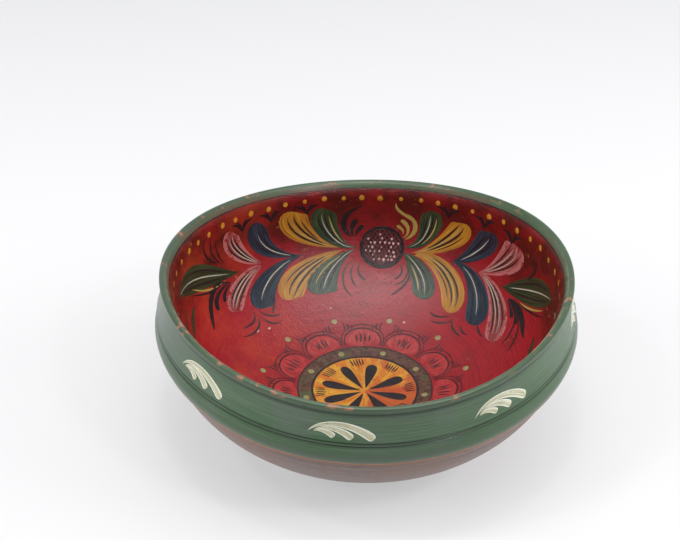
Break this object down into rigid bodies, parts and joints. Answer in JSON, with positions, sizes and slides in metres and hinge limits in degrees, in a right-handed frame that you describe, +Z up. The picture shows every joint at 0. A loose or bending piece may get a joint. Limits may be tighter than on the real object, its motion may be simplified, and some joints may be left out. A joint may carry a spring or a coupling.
{
  "type": "painted wooden bowl",
  "caption": "Low round wooden ale bowl, turned from one blank, with a painted inside, a rounded lip, a turned belt below it and a small flat foot.",
  "frame": {"origin": "on the table, under the middle of the foot", "axes": "+Z up along the turning axis; X runs through the two high ends of the warped rim, Y through its two low sides"},
  "size_m": [0.2912, 0.2912, 0.1258],
  "materials": {
    "varnished_wood": "turned birch under an old thin grey-brown stain, satin",
    "green_paint": "worn green oil paint over red ground, satin",
    "red_paint": "deep red oil paint with an old gloss varnish",
    "brown_paint": "brown oil paint with green patches",
    "ochre_paint": "orange-yellow oil paint, streaked"
  },
  "bodies": {
    "root": {"turned_bowl": "varnished_wood", "green_rim_coat": "green_paint", "red_inside_coat": "red_paint", "medallion_ring": "brown_paint", "medallion_disc": "ochre_paint"}
  },
  "joints": []
}
